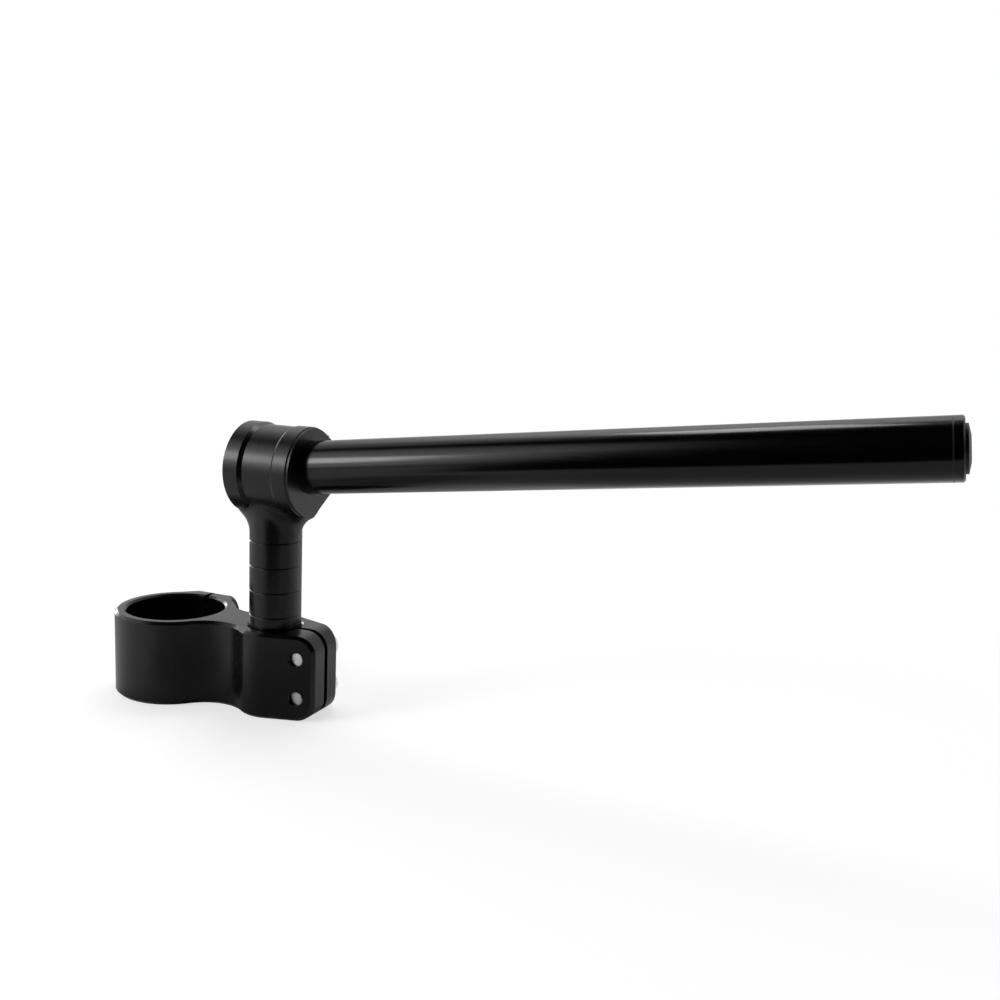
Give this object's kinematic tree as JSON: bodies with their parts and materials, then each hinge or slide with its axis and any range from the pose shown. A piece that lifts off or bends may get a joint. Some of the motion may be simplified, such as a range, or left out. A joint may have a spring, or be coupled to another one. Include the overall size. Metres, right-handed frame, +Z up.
{
  "type": "clip-on handlebar",
  "caption": "Black clip-on handlebar for a motorbike fork leg: a split fork clamp carries a marked riser post, whose pinch head holds a straight, rising bar with plugged ends.",
  "frame": {"origin": "centre of the fork bore, on the fork axis at the clamp's mid height", "axes": "+Z up the fork tube, +X from the fork axis to the riser post and along the bar, +Y towards the pinch ears of the fork ring and the bar head"},
  "size_m": [0.3476, 0.0616, 0.1486],
  "materials": {
    "clamp_aluminium": "satin black",
    "riser_aluminium": "satin black",
    "tube_aluminium": "satin black",
    "plug_plastic": "matt",
    "bolt_steel": "bright"
  },
  "bodies": {
    "root": {"fork_clamp": "clamp_aluminium", "riser": "riser_aluminium", "handlebar_tube": "tube_aluminium", "inner_end_plug": "plug_plastic", "outer_end_plug": "plug_plastic", "fork_pinch_bolts": "bolt_steel", "post_pinch_bolts": "bolt_steel", "bar_pinch_bolts": "bolt_steel"}
  },
  "joints": []
}
